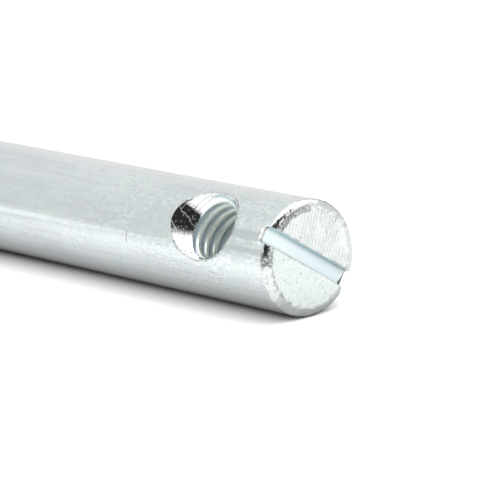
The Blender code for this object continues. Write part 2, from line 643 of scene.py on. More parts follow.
# %% [markdown]
# ## The end faces
# The plain end is filled with rings that shrink to a point. Each half of the slotted face
# is filled with rows parallel to the slot. A row's ends are two points of the edge ring,
# and its other points lie at the same shares as those along the slot, so the slot's walls
# join on.

# %% The two end faces and the slot
PLAIN_RINGS = 8
ALONG_SLOT = 72
END_CROWDING = 0.55

plain_face = [
    [on_rod(turn, 0.0, radius) for turn in turns]
    for radius in spread(FACE_RADIUS, 0.0, PLAIN_RINGS)
]
skin.patch(plain_face, "sawn_face")

slot_shares = [
    (1 - END_CROWDING) * share + END_CROWDING * math.sin(share * math.pi / 2)
    for share in spread(-1.0, 1.0, ALONG_SLOT)
]


def row_between(x, y_end, height):
    return [(x, share * y_end, height) for share in slot_shares]


def half_face(sign):
    """Rows parallel to the slot, from its lip out to the far point of the edge."""
    rows = []
    for turn in half_turns[:len(half_turns) // 2 + 1]:
        own = squeezed(turn, FACE_RADIUS)
        x = sign * FACE_RADIUS * math.sin(own)
        rows.append(row_between(x, FACE_RADIUS * math.cos(own), ROD_LENGTH))
    return rows


def slot_wall(sign):
    """Rows along the slot, from the rounded corner up to the end face's lip."""
    heights = [(ROD_RADIUS, height) for height in levels[slot_row:]] + profile[1:]
    half = SLOT_WIDTH / 2
    return [
        row_between(sign * half, math.sqrt(radius**2 - half**2), height)
        for radius, height in heights
    ]


slot_floor = [
    row_between(across, math.sqrt(ROD_RADIUS**2 - across**2), floor_height + rise)
    for across, rise in section
]
for sign in (1, -1):
    skin.patch(half_face(sign), "sawn_face")
    skin.patch(slot_wall(sign), "slot")
skin.patch(slot_floor, "slot")

SEWING_DISTANCE = 0.3e-6
skin.sew(SEWING_DISTANCE)
print("skin:", len(skin.mesh.faces), "faces,", skin.open_edges(), "open edges")

# %% [markdown]
# ## Burrs and lumps
# A saw pushes metal out of the slot as it leaves, and tumbling beats edges into small
# lumps. A sculptor would push the points about with a brush. A few formulas do the same
# here and give the same result each time: each one says how far a point moves, and fades
# out away from its edge. The noise comes from mathutils, which has a fixed pattern. All
# sizes in this cell are in millimetres.

# %% Push the points about
LUMP_HEIGHT, LUMP_SIZE = 0.035, 0.55
GRIT_HEIGHT, GRIT_SIZE = 0.012, 0.18
EDGE_REACH, EDGE_FULL = 1.1, 0.45
LUMPS_FROM, LUMPS_FULL = 3.7, 4.25
BURR_REACH, FAR_BURR = 0.18, 0.05
BURR_BELOW, BURR_INSIDE = 0.45, 0.30
BURR_FULL, BURR_ABOVE = 0.1, 0.5
BURR_NARROW, BURR_WIDE = 0.55, 1.0
RAGGED, RAGGED_SIZE = 0.9, 0.25
RIM_WOBBLE, RIM_WOBBLE_SIZE = 0.022, 0.3
RIM_RISE, RIM_ACROSS = 4.6, 3.6
WORN_CORNER = Vector((0.75, 4.75, 60.0))
WORN_REACH, WORN_SIDE = 0.75, 0.7
WORN_MOVE = Vector((0.05, -0.10, -0.20))


def smooth(low, high, value):
    """0 below low, 1 above high, and an even slope between them."""
    t = min(1.0, max(0.0, (value - low) / (high - low)))
    return t * t * (3 - 2 * t)


def fading(low, high, value):
    return 1 - smooth(low, high, value)


def end_lumps(spot):
    """Height of the lumps on the two rounded end edges."""
    from_end = min(spot.z, 1000 * ROD_LENGTH - spot.z)
    mask = smooth(LUMPS_FROM, LUMPS_FULL, math.hypot(spot.x, spot.y))
    mask *= fading(EDGE_FULL, EDGE_REACH, from_end)
    lumps = noise.noise(spot / LUMP_SIZE) * LUMP_HEIGHT
    return mask * (lumps + noise.noise(spot / GRIT_SIZE) * GRIT_HEIGHT)


def saw_burr(spot):
    """How far the saw has pushed the slot's floor out past the side."""
    if abs(spot.x) > BURR_WIDE:
        return 0.0
    below = 1000 * floor_height - spot.z
    inside = math.sqrt((1000 * ROD_RADIUS) ** 2 - spot.x**2) - abs(spot.y)
    mask = fading(BURR_NARROW, BURR_WIDE, abs(spot.x)) * fading(0.0, BURR_INSIDE, inside)
    mask *= fading(0.0, BURR_BELOW, below) if below > 0 else fading(BURR_FULL, BURR_ABOVE, -below)
    ragged = 1 + RAGGED * noise.noise(spot / RAGGED_SIZE)
    return mask * ragged * BURR_REACH * (1 if spot.y < 0 else FAR_BURR)


def rim_wobble(spot):
    """How far tumbling has moved the lips of the two hole mouths."""
    if abs(spot.z - 1000 * HOLE_HEIGHT) > RIM_RISE or abs(spot.x) > RIM_ACROSS:
        return 0.0
    return RIM_WOBBLE * noise.noise(spot / RIM_WOBBLE_SIZE)


def worn_corner(spot):
    """How the far corner beside the slot has been knocked in."""
    if spot.x < WORN_SIDE:
        return Vector()
    return WORN_MOVE * fading(0.0, WORN_REACH, (spot - WORN_CORNER).length)


def relief(vert, finishes):
    """The move of one point, in metres."""
    spot = vert.co / MM
    move = vert.normal * end_lumps(spot) + worn_corner(spot)
    side = -1 if spot.y < 0 else 1
    move += Vector((0.0, side * saw_burr(spot), 0.0))
    if "tumbled_edge" in finishes:
        move += Vector((0.0, side * rim_wobble(spot), 0.0))
    return move * MM


skin.mesh.normal_update()
moves = []
for vert in skin.mesh.verts:
    worn = {FINISHES[face.material_index] for face in vert.link_faces}
    moves.append((vert, relief(vert, worn)))
for vert, move in moves:
    vert.co += move
    vert.co.z = max(vert.co.z, 0.0)
print("largest move:", round(max(move.length for vert, move in moves) / MM, 3), "mm")

# %% [markdown]
# ## Surface effects as node groups
# Zinc plating is a thin crystalline coat. Close up it is never one colour: it has faint
# clouds of blue, violet and green, it is scratched, and it is full of tiny pits. Several
# finishes below need these effects, so each effect is a node group, built once and placed
# in each material with its own values. Each reads the object's own coordinates, turned
# into millimetres, so that a size in a group is a size on the metal.

# %% Helpers for shader groups
def vector_math(operation, place, other=None, output="Vector"):
    """The result of one Vector Math node."""
    inputs = {0: place} if other is None else {0: place, 1: other}
    node = new_node(place.tree, "ShaderNodeVectorMath", inputs, operation=operation)
    return outputs_of(node)[output]


def stretched(place, *factors):
    """The place scaled by its own factor along each axis."""
    return vector_math("MULTIPLY", place, factors)


def object_place(tree):
    """The point's place on the object, in metres."""
    return outputs_of(new_node(tree, "ShaderNodeTexCoord"))["Object"]


def millimetres(tree):
    """The point's place on the object, in mm."""
    return stretched(object_place(tree), 1000.0, 1000.0, 1000.0)


def cloud(place, scale, detail=3.0, roughness=0.5):
    """Noise from 0 to 1 with scale cycles a millimetre."""
    inputs = {"Vector": place, "Scale": scale, "Detail": detail, "Roughness": roughness}
    return outputs_of(new_node(place.tree, "ShaderNodeTexNoise", inputs))["Fac"]


def between(value, low, high, new_low=0.0, new_high=1.0):
    """A smooth step from new_low to new_high as value goes from low to high."""
    inputs = {"Value": value, "From Min": low, "From Max": high}
    inputs.update({"To Min": new_low, "To Max": new_high})
    node = new_node(value.tree, "ShaderNodeMapRange", inputs, interpolation_type="SMOOTHSTEP")
    return Value(node.outputs["Result"])


def blended(share, first, second):
    """A mix of two colours."""
    node = new_node(tree_of(share, first, second), "ShaderNodeMix", data_type="RGBA")
    feed(node.inputs["Factor"], share)
    colours = (socket for socket in node.inputs if socket.type == "RGBA")
    for socket, colour in zip(colours, (first, second)):
        feed(socket, colour)
    return Value(next(socket for socket in node.outputs if socket.type == "RGBA"))


def layered(colour, *layers):
    """The colour with paints laid over it in turn, each given as (share, paint)."""
    for share, paint in layers:
        colour = blended(share, colour, paint)
    return colour


# %% Group: clouds of colour in the zinc
BLUE_ZINC = (0.785, 0.855, 0.87, 1.0)
PALE_ZINC = (0.875, 0.94, 0.93, 1.0)
VIOLET_ZINC = (0.83, 0.85, 0.89, 1.0)
GREEN_ZINC = (0.80, 0.92, 0.885, 1.0)


def build_zinc_clouds():
    group, start = new_group("ShaderNodeTree", "zinc clouds", {"Scale": 1.0, "Tint": 0.4})
    place = millimetres(group)
    broad = cloud(place, start["Scale"] * 0.45, 5.0, 0.6)
    hue = cloud(place, start["Scale"] * 0.8, 2.0)
    base = blended(between(broad, 0.3, 0.7), BLUE_ZINC, PALE_ZINC)
    tint = blended(between(hue, 0.35, 0.65), VIOLET_ZINC, GREEN_ZINC)
    return with_outputs(group, {"Color": blended(start["Tint"], base, tint), "Cloud": broad})


zinc_clouds = build_zinc_clouds()

# %% Group: scratches
def build_scratches():
    inputs = {"Stretch": (8.0, 8.0, 0.5), "Coverage": 0.5}
    group, start = new_group("ShaderNodeTree", "scratches", inputs)
    place = millimetres(group)
    lines = cloud(vector_math("MULTIPLY", place, start["Stretch"]), 1.0, 4.0, 0.65)
    worn = between(cloud(place, 0.5, 2.0), 0.85 - start["Coverage"], 0.8)
    return with_outputs(group, {"Height": (lines - 0.5) * worn})


scratches = build_scratches()

# %% Group: pits
def build_pits():
    group, start = new_group("ShaderNodeTree", "pits", {"Scale": 3.0, "Share": 0.3})
    inputs = {"Vector": millimetres(group), "Scale": start["Scale"]}
    cells = outputs_of(new_node(group, "ShaderNodeTexVoronoi", inputs, feature="F1"))
    chance = new_node(group, "ShaderNodeSeparateColor", {0: cells["Color"]}).outputs[0]
    chosen = calculated("LESS_THAN", Value(chance), start["Share"])
    pit = (1.0 - between(cells["Distance"], 0.05, 0.35)) * chosen
    return with_outputs(group, {"Height": pit * -1.0, "Mask": pit})


pits = build_pits()

# %% [markdown]
# Two more groups follow the edges. The first draws thin dark lines along them; on the slot's
# lips these lines are painted shade under the burr. The second paints reflections onto the
# slotted end's edge at set turns: dark and grey patches and a white highlight, with thin
# dark lines. The masks are made from the place itself: how far it is from an edge, in
# millimetres, and at which turn round the rod, with 0 at -Y and turns growing towards +X.

# %% Group: thin lines along the edges
LINE_INSIDE_MOUTH = 0.13
RIM_RAGGED = 0.45
LIP_RAGGED = 0.12


def degrees(*angles):
    """Angles given in degrees, in radians."""
    return [math.radians(angle) for angle in angles]


def turn_round(x, y):
    """The turn round Z, 0 at -Y and growing towards +X."""
    return calculated("ARCTAN2", x, y * -1.0)


def length_of(a, b):
    return root(a * a + b * b)


def line_at(distance, width):
    """1 on a line, falling smoothly to 0 at its width."""
    return 1.0 - between(abs(distance), 0.0, width)


def window(value, low, high, soft):
    """1 between low and high, falling smoothly to 0 outside them."""
    return between(value, low - soft, low) * between(value, high, high + soft, 1.0, 0.0)


def build_edge_lines():
    """Dark lines round the end faces and round the hole's mouth, and painted shade on the slot's
    lips.
    """
    group, start = new_group(
        "ShaderNodeTree",
        "edge lines",
        {"Rim Radius": 4.2, "Lip": 0.78, "Cone Offset": 0.875, "Hole Height": 51.0, "Width": 0.1},
    )
    place = millimetres(group)
    x, y, z = xyz(place)
    wobble = cloud(place, 2.4, 3.0, 0.6) - 0.5
    broken = between(cloud(place, 1.7, 4.0, 0.7), 0.42, 0.6)
    from_rim = length_of(x, y) - start["Rim Radius"] + wobble * RIM_RAGGED
    from_lip = abs(x) - start["Lip"] + wobble * LIP_RAGGED
    from_cone = length_of(x, z - start["Hole Height"]) - abs(y) + start["Cone Offset"]
    from_mouth = from_cone - LINE_INSIDE_MOUTH + wobble * LIP_RAGGED
    near_side = calculated("LESS_THAN", y, 0.0)
    return with_outputs(group, {
        "Rim": line_at(from_rim, start["Width"]) * broken,
        # The line on the slot's lips is painted shade under the burr.
        "Slot Lip": line_at(from_lip, start["Width"]) * broken,
        "Mouth": line_at(from_mouth, start["Width"]) * (broken * near_side),
    })


edge_lines = build_edge_lines()

# %% Group: painted reflections and marks on the slotted end's edge
# Turns and bands where the slotted end's edge gets painted reflections: dark patches, a grey band
# and a white highlight.
HATCHED_FROM = math.radians(20.0)
DARK_PATCH_FROM, DARK_PATCH_TO = degrees(8.0, 28.0)
REFLECTED_BAND_FROM, REFLECTED_BAND_TO = degrees(-58.0, -9.0)
FADED_TO = math.radians(-28.0)
GREY_TURNS = degrees(62.0, 82.0)
LINED_FROM, LINED_TO = degrees(20.0, 86.0)
LINE_WIDTH = 0.30
BAND = (-0.16, 0.30)
WHITE = (0.30, 0.42)
SHOULDER_DROP, SHOULDER_WIDTH = 0.46, 0.12


def build_edge_reflections_and_marks():
    """Masks, by turn and by radius, for painted reflections and thin dark lines on the edge."""
    inputs = {"Face Radius": 4.2, "Top": 60.0}
    group, start = new_group("ShaderNodeTree", "edge reflections and marks", inputs)
    place = millimetres(group)
    x, y, z = xyz(place)
    wobble = cloud(place, 1.6, 4.0, 0.7) - 0.5
    turn = turn_round(x, y) + wobble * 0.5
    over_face = length_of(x, y) - start["Face Radius"] + wobble * 0.35
    below_top = start["Top"] - z
    near_top = between(below_top, 0.8, 1.2, 1.0, 0.0)
    mottled = between(cloud(place, 4.6, 3.0, 0.8), 0.40, 0.52, 0.25, 1.0)
    broken = between(cloud(place, 2.2, 4.0, 0.7), 0.44, 0.56)

    # patch and band are painted dark reflections, white is a painted highlight and grey is a
    # painted grey reflection.
    patch = window(turn, DARK_PATCH_FROM, DARK_PATCH_TO, 0.12) * between(over_face, -0.15, 0.0)
    patch = patch * between(turn, DARK_PATCH_FROM, HATCHED_FROM, 0.3, 1.0)
    band = window(turn, REFLECTED_BAND_FROM, REFLECTED_BAND_TO, 0.15) * window(over_face, *BAND, 0.12)
    band = band * between(turn, REFLECTED_BAND_FROM, FADED_TO, 0.7, 1.0)
    line = window(turn, LINED_FROM, LINED_TO, 0.1) * (line_at(over_face, LINE_WIDTH) * broken)
    white = window(turn, REFLECTED_BAND_FROM, REFLECTED_BAND_TO, 0.2) * between(over_face, *WHITE)
    grey = between(abs(turn), *GREY_TURNS) * between(turn, -0.3, 0.3, 0.5, 1.0)
    grey = grey * between(over_face, -0.08, 0.18)
    shoulder = line_at(below_top + wobble * 0.25 - SHOULDER_DROP, SHOULDER_WIDTH) * broken
    return with_outputs(group, {
        "Dark": larger(larger(patch, band), line) * mottled * near_top,
        "White": white * near_top,
        "Grey": grey * near_top,
        "Shoulder": shoulder * window(turn, LINED_FROM, math.pi, 0.1),
    })


edge_reflections_and_marks = build_edge_reflections_and_marks()
shader_groups = (zinc_clouds, scratches, pits, edge_lines, edge_reflections_and_marks)
print("shader groups:", [group.name for group in shader_groups])

# %% [markdown]
# ## From effects to a finish
# Every finish here is bare zinc, so each is a metallic Principled BSDF. Only the thread is
# partly matt, because the tap's dirt stays in it. What makes one differ from another is
# its colours, laid over each other like thin paints, how rough it is, and the small
# heights that feed its Bump node. This helper class starts such a material, adds groups to
# it and feeds its shader.

# %% A helper for finishes
class ZincFinish:
    """A metallic material to which shared effects are added."""

    def __init__(self, name):
        self.material = bpy.data.materials.get(name) or bpy.data.materials.new(name)
        self.material.use_nodes = True
        self.tree = self.material.node_tree
        self.place = millimetres(self.tree)

    def effect(self, group, **values):
        """Place a shared group with its own values and return its outputs."""
        return outputs_of(new_node(self.tree, "ShaderNodeGroup", values, node_tree=group))

    def done(self, colour, roughness, heights, metallic=1.0):
        """Feed the shader; heights holds pairs of a height and its mm for each unit."""
        first, *others = [height * amount for height, amount in heights]
        bumps = {"Distance": MM, "Height": sum(others, first)}
        bump = new_node(self.tree, "ShaderNodeBump", bumps)
        inputs = {"Base Color": colour, "Roughness": roughness, "Metallic": metallic}
        inputs["Normal"] = bump.outputs[0]
        for label, value in inputs.items():
            feed(self.tree.nodes["Principled BSDF"].inputs[label], value)
        return self.material


# %% [markdown]
# The rod is drawn through a die, so its side is smooth with faint marks along it. The
# plating is mottled, more so towards the slotted end, and two grey streaks lie beyond the
# hole. One nick and a few scuffs lie below it. Each mark is placed by its turn round the
# rod and its height above the plain end, in millimetres.

# %% Finish: the drawn and plated side
# These two paints serve real dirt in pits and marks, and painted shade in the crease under the
# burr, on the slot's lips and along its far edge.
DARK_DIRT_AND_SHADE = (0.10, 0.10, 0.10, 1.0)
BROWN_DIRT_AND_SHADE = (0.30, 0.25, 0.22, 1.0)
STREAK_VIOLET = (0.735, 0.765, 0.81, 1.0)
STREAK_GREY = (0.60, 0.665, 0.665, 1.0)
MOTTLE_PALE = (0.93, 0.99, 0.975, 1.0)
MOTTLE_GREY = (0.68, 0.755, 0.755, 1.0)
# Pale for a painted sheen where the side turns away from the view.
GRAZING_SHEEN_PALE = (0.97, 0.96, 0.965, 1.0)
SHADED_BAND_TURNS = degrees(-8.0, 15.0)
STREAK_TURNS = [degrees(0.0, 7.0), degrees(16.5, 20.0)]
PALE_TURNS = degrees(24.0, 40.0)
LOW_TURNS = degrees(40.0, 65.0)
NEAR_HOLE = (38.0, 46.0)
PAST_HOLE = (51.0, 56.0)
GROWTH = (20.0, 58.0)
NICK_TURNS = degrees(24.0, 33.0)
NICK_HEIGHT, NICK_SLANT, NICK_WIDTH = 41.4, 0.4, 0.11
SCUFF_TURNS = degrees(30.0, 46.0)
SCUFF_HEIGHTS = (42.5, 48.0)
SCUFF_WIDTH = 0.012


def nick_and_scuffs(place, turn, z):
    """The few dark marks on the side below the hole."""
    nick = line_at(z - NICK_HEIGHT + turn * NICK_SLANT, NICK_WIDTH)
    nick = nick * window(turn, *NICK_TURNS, 0.05)
    scuff = line_at(cloud(stretched(place, 1.0, 1.0, 0.35), 2.0, 4.0, 0.7) - 0.5, SCUFF_WIDTH)
    scuff = scuff * window(turn, *SCUFF_TURNS, 0.12)
    return larger(nick, scuff * window(z, *SCUFF_HEIGHTS, 0.8) * 0.6)


def rolled_side():
    finish = ZincFinish("rolled_side")
    place = finish.place
    x, y, z = xyz(place)
    turn = turn_round(x, y)
    clouds = finish.effect(zinc_clouds, Scale=1.1, Tint=0.45)
    drawn = finish.effect(scratches, Stretch=(5.0, 5.0, 0.30), Coverage=0.6)
    pitted = finish.effect(pits, Scale=3.2, Share=0.22)
    lines = finish.effect(edge_lines, Width=0.09)

    past_hole = between(z, *PAST_HOLE)
    near_hole = between(z, *NEAR_HOLE, 0.0, 0.30)
    near_hole = near_hole * between(turn, *PALE_TURNS, 1.0, 0.15)
    # A darker band at set turns round the rod: a painted dark reflection.
    shaded_band = window(turn, *SHADED_BAND_TURNS, 0.15) * (1.0 - past_hole)
    drawn_marks = cloud(stretched(place, 1.0, 1.0, 0.04), 1.5, 5.0, 0.7)
    streaks = larger(*[window(turn, low, high, 0.03) for low, high in STREAK_TURNS])

    growth = between(z, *GROWTH, 0.22, 2.0)
    growth = growth * between(turn, *LOW_TURNS, 1.0, 0.45)
    fine = cloud(stretched(place, 1.0, 1.0, 0.45), 3.6, 5.0, 0.75)
    broad = (0.35 + between(cloud(place, 0.35, 3.0, 0.6), 0.4, 0.62)) * growth
    facing = outputs_of(new_node(finish.tree, "ShaderNodeLayerWeight"))["Facing"]
    colour = layered(
        clouds["Color"],
        (between(drawn_marks, 0.47, 0.60, 0.0, 0.75), STREAK_VIOLET),
        (near_hole + shaded_band * 0.28, MOTTLE_GREY),
        (between(fine, 0.50, 0.60, 0.0, 0.6) * broad, MOTTLE_PALE),
        (between(fine, 0.38, 0.49, 0.6, 0.0) * broad, MOTTLE_GREY),
        (streaks * past_hole * 0.8, STREAK_GREY),
        (pitted["Mask"] * 0.25, DARK_DIRT_AND_SHADE),
        (lines["Mouth"] * 0.85, DARK_DIRT_AND_SHADE),
        (nick_and_scuffs(place, turn, z) * 0.55, DARK_DIRT_AND_SHADE),
        # Painted sheen: paler where the side turns away from the view.
        (between(facing, 0.6, 0.95), GRAZING_SHEEN_PALE),
    )
    roughness = between(clouds["Cloud"], 0.3, 0.7, 0.11, 0.20) + pitted["Mask"] * 0.15
    mottle = cloud(place, 3.4, 4.0, 0.7) * between(cloud(place, 0.22, 2.0), 0.4, 0.65, 0.3, 1.0)
    heights = [(drawn["Height"], 0.010), (mottle * growth, 0.011), (pitted["Height"], 0.006)]
    return finish.done(colour, roughness, heights)


# %% [markdown]
# A circular saw cut the ends and left fine ridges that fade towards one side. The edges
# were then tumbled with other dowels: they are smooth and dented. Grey and white bands and
# dark patches on them are painted reflections. Both finishes share the masks of the edge
# reflections and marks group, so that a painted reflection runs on over the edge.

# %% Finish: the sawn end faces
SAW_PITCH = 0.35
SAW_TURN = math.radians(74.0)
SAW_DRIFT = 0.9
FACE_GREY = (0.72, 0.78, 0.77, 1.0)
FACE_WARM = (0.855, 0.895, 0.875, 1.0)
FACE_LOW = (0.78, 0.85, 0.84, 1.0)
# HATCHED_GREY paints the dark reflections on the face and the edge.
HATCHED_GREY = (0.20, 0.215, 0.215, 1.0)


def saw_ridges(place, x, y):
    """Fine parallel ridges that wander a little and fade towards one side."""
    across = x * math.cos(SAW_TURN) - y * math.sin(SAW_TURN)
    phase = across / SAW_PITCH + cloud(place, 0.35, 2.0) * SAW_DRIFT
    ridge = calculated("SINE", phase * (2 * math.pi))
    fade = between(x, -0.5, 2.0, 1.0, 0.15)
    return ridge * fade * between(cloud(place, 0.6, 2.0), 0.25, 0.5)


def sawn_face():
    finish = ZincFinish("sawn_face")
    x, y, z = xyz(finish.place)
    clouds = finish.effect(zinc_clouds, Scale=2.0, Tint=0.15)
    pitted = finish.effect(pits, Scale=2.6, Share=0.22)
    lines = finish.effect(edge_lines, Width=0.11)
    reflections_and_marks = finish.effect(edge_reflections_and_marks)
    grain = cloud(finish.place, 3.0, 5.0, 0.65)
    ridges = saw_ridges(finish.place, x, y)
    lower = between(x, 0.0, 1.6)
    blotch = between(cloud(finish.place, 2.4, 4.0, 0.65), 0.50, 0.64, 0.0, 0.8) * (0.35 + lower)
    groove = between(ridges, -0.9, 0.0, 0.65, 0.0)
    colour = layered(
        clouds["Color"],
        (0.75, FACE_WARM),
        (lower * 0.75, FACE_LOW),
        (larger(blotch, groove), FACE_GREY),
        (pitted["Mask"] * 0.45, BROWN_DIRT_AND_SHADE),
        (lines["Rim"] * 0.45, BROWN_DIRT_AND_SHADE),
        # A painted dark reflection, then painted shade along the slot's lips.
        (reflections_and_marks["Dark"] * 0.92, HATCHED_GREY),
        (lines["Slot Lip"] * 0.6, BROWN_DIRT_AND_SHADE),
    )
    heights = [(ridges, 0.023), (grain, 0.020), (pitted["Height"], 0.02)]
    return finish.done(colour, between(grain, 0.3, 0.7, 0.22, 0.36), heights)


# %% Finish: edges beaten smooth by tumbling
# EDGE_WHITE paints a highlight and EDGE_GREY a grey reflection on the edge; EDGE_GREY also paints
# random grey specks.
EDGE_WHITE = (0.98, 0.99, 0.98, 1.0)
EDGE_BEIGE = (0.84, 0.845, 0.82, 1.0)
EDGE_GREY = (0.47, 0.51, 0.50, 1.0)


def tumbled_edge():
    finish = ZincFinish("tumbled_edge")
    clouds = finish.effect(zinc_clouds, Scale=2.5, Tint=0.2)
    pitted = finish.effect(pits, Scale=3.0, Share=0.25)
    lines = finish.effect(edge_lines, Width=0.12)
    reflections_and_marks = finish.effect(edge_reflections_and_marks)
    dents = cloud(finish.place, 1.1, 3.0, 0.55)
    colour = layered(
        clouds["Color"],
        (0.6, EDGE_BEIGE),
        # A painted highlight and a painted grey reflection; further down, a painted dark
        # reflection.
        (reflections_and_marks["White"] * 0.9, EDGE_WHITE),
        (reflections_and_marks["Grey"] * 0.85, EDGE_GREY),
        (lines["Rim"] * 0.5, BROWN_DIRT_AND_SHADE),
        (reflections_and_marks["Dark"] * 0.95, HATCHED_GREY),
        (reflections_and_marks["Shoulder"] * 0.35, BROWN_DIRT_AND_SHADE),
        (lines["Mouth"] * 0.85, DARK_DIRT_AND_SHADE),
        (between(cloud(finish.place, 3.0, 4.0, 0.7), 0.52, 0.66) * 0.55, EDGE_GREY),
        (pitted["Mask"] * 0.35, BROWN_DIRT_AND_SHADE),
    )
    heights = [(dents, 0.10), (pitted["Height"], 0.02)]
    return finish.done(colour, between(dents, 0.3, 0.7, 0.12, 0.24), heights)


# %% [markdown]
# The countersink is the smoothest place. The cutter left it bright, with two broken rings
# near its foot and a few hairlines, and it mirrors the room. The tapped wall below is
# duller, and only the side that faces the light shines. Its grooves are painted darker, as
# painted shade, and its crests paler, as a painted highlight.

# %% Finish: the smooth countersink
CONE_WHITE = (0.97, 0.98, 0.975, 1.0)
RING_RADII = (2.86, 3.12)
RING_WIDTH, RING_RAGGED = 0.035, 0.12
HAIRLINE_SCALE, HAIRLINE_WIDTH = 0.40, 0.008


def hole_radius(x, z):
    """Distance from the axis of the cross hole, in mm."""
    return length_of(x, z - 1000 * HOLE_HEIGHT)


def countersink():
    finish = ZincFinish("countersink")
    place = finish.place
    x, y, z = xyz(place)
    clouds = finish.effect(zinc_clouds, Scale=2.0, Tint=0.1)
    chatter = finish.effect(scratches, Stretch=(6.0, 6.0, 2.0), Coverage=0.6)
    pitted = finish.effect(pits, Scale=8.0, Share=0.24)
    bent = cloud(place, 2.0, 3.0, 0.6)
    speck = cloud(place, 6.0, 3.0, 0.6)
    moved = vector_math("ADD", place, outputs_of(bent.socket.node)["Color"])
    inputs = {"Vector": moved, "Scale": HAIRLINE_SCALE}
    cracks = new_node(finish.tree, "ShaderNodeTexVoronoi", inputs, feature="DISTANCE_TO_EDGE")
    hairline = line_at(outputs_of(cracks)["Distance"], HAIRLINE_WIDTH)
    radius = hole_radius(x, z)
    ragged = (bent - 0.5) * RING_RAGGED
    rings = larger(*[line_at(radius - size + ragged, RING_WIDTH) for size in RING_RADII])
    ring = rings * between(speck, 0.36, 0.50)
    colour = layered(clouds["Color"], (0.8, CONE_WHITE), (ring * 0.85, DARK_DIRT_AND_SHADE))
    heights = [
        (hairline, 0.012), (chatter["Height"], 0.006), (speck, 0.005), (pitted["Height"], 0.012)
    ]
    return finish.done(colour, 0.07 + hairline * 0.35, heights)


# %% Finish: the tapped thread
# The crest colour is a painted highlight and the two groove colours are painted shade.
GROOVE_TEAL_SHADE = (0.62, 0.73, 0.765, 1.0)
GROOVE_BLUE_SHADE = (0.68, 0.73, 0.82, 1.0)
CREST_BEIGE_HIGHLIGHT = (0.88, 0.92, 0.85, 1.0)
THREAD_METAL = (0.28, 0.70)
GROOVE_DEPTH = (2.53, 2.78)
SHINY = (0.2, 2.0)


def tapped_thread():
    finish = ZincFinish("tapped_thread")
    x, y, z = xyz(finish.place)
    shiny = between(x, *SHINY)
    groove = blended(shiny, GROOVE_TEAL_SHADE, GROOVE_BLUE_SHADE)
    # Crests painted paler as a highlight, grooves darker as painted shade.
    colour = blended(between(hole_radius(x, z), *GROOVE_DEPTH), CREST_BEIGE_HIGHLIGHT, groove)
    grain = cloud(finish.place, 3.0, 3.0, 0.6)
    roughness = between(grain, 0.3, 0.7, 0.16, 0.28) - shiny * 0.10
    metallic = between(shiny, 0.0, 1.0, *THREAD_METAL)
    return finish.done(colour, roughness, [(grain, 0.009)], metallic)


# %% [markdown]
# The slot was sawn along Y. Its floor is cold and pale at the near end and greyer towards
# the far one. Its walls are painted paler than its floor, as painted light. A brown line
# of painted shade runs in the crease under the burr, and a dark one along the far edge.
# Places along the slot are in millimetres from the rod's axis, with the near end at -5,
# and heights are above the plain end.

# %% Finish: the sawn slot
SLOT_WHITE = (0.76, 0.85, 0.865, 1.0)
SLOT_GREY = (0.66, 0.755, 0.79, 1.0)
LIP_BEIGE = (0.86, 0.86, 0.84, 1.0)
# WALL_WHITE paints the slot's walls paler than its floor, as painted light.
WALL_WHITE = (0.96, 1.0, 1.0, 1.0)
GREYING = (-4.5, 3.0)
WALL_FOOT = (59.2, 59.5)
FLOOR_EDGE = (59.15, 59.3)
BEIGE_EDGE = (-4.92, -4.84)
CREASE_PLACE, CREASE_WIDTH = -4.84, 0.22
FAR_EDGE = (4.88, 4.93)
FAR_CORNER = (4.90, 4.96)
FAR_CORNER_X, FAR_CORNER_REACH = 0.40, 0.6


def slot():
    finish = ZincFinish("slot")
    place = finish.place
    x, y, z = xyz(place)
    clouds = finish.effect(zinc_clouds, Scale=0.8, Tint=0.15)
    sawn = finish.effect(scratches, Stretch=(6.0, 0.4, 6.0), Coverage=0.6)
    along = y + (cloud(place, 3.0, 3.0, 0.6) - 0.5) * 0.16
    on_floor = between(z, *FLOOR_EDGE, 1.0, 0.0)
    cold = blended(between(along, *GREYING), SLOT_WHITE, SLOT_GREY)
    # The walls are painted paler than the floor: painted light.
    cold = blended(between(z, *WALL_FOOT), cold, WALL_WHITE)
    broken = between(cloud(place, 4.0, 3.0, 0.6), 0.35, 0.50, 0.45, 1.0)
    # The crease under the burr is painted shade.
    crease = line_at(along - CREASE_PLACE, CREASE_WIDTH) * broken
    # The far corner and the far edge are painted shade.
    corner = (FAR_CORNER_REACH - abs(x - FAR_CORNER_X)) * 0.5
    corner = between(along + corner, *FAR_CORNER)
    far_edge = larger(corner, between(along, *FAR_EDGE))
    colour = layered(
        clouds["Color"],
        (0.8, cold),
        (between(along, *BEIGE_EDGE, 1.0, 0.0) * on_floor, LIP_BEIGE),
        (crease * on_floor * 0.85, BROWN_DIRT_AND_SHADE),
        (far_edge * on_floor * 0.9, DARK_DIRT_AND_SHADE),
    )
    return finish.done(colour, 0.24, [(sawn["Height"], 0.010)])


finishes = [rolled_side(), sawn_face(), tumbled_edge(), countersink(), tapped_thread(), slot()]
assert [material.name for material in finishes] == FINISHES
print("finishes:", FINISHES)

# %% [markdown]
# ## The finished piece
# The skin becomes one mesh object that rides on the frame's only body and stands for the
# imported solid. Edges sharper than a set angle stay crisp, and all others are smooth.

# %% Make the dowel
CRISP_ANGLE = math.radians(50.0)

dowel_mesh = bpy.data.meshes.new("plated_dowel")
skin.mesh.to_mesh(dowel_mesh)
skin.mesh.free()
for material in finishes:
    dowel_mesh.materials.append(material)
dowel_mesh.set_sharp_from_angle(angle=CRISP_ANGLE)
dowel = placed("plated_dowel", dowel_mesh)
body = next(iter(frame["bodies"]))
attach(dowel, body)
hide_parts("dowel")
triangles = sum(len(polygon.vertices) - 2 for polygon in dowel_mesh.polygons)
print("dowel:", triangles, "triangles, rides on", body)

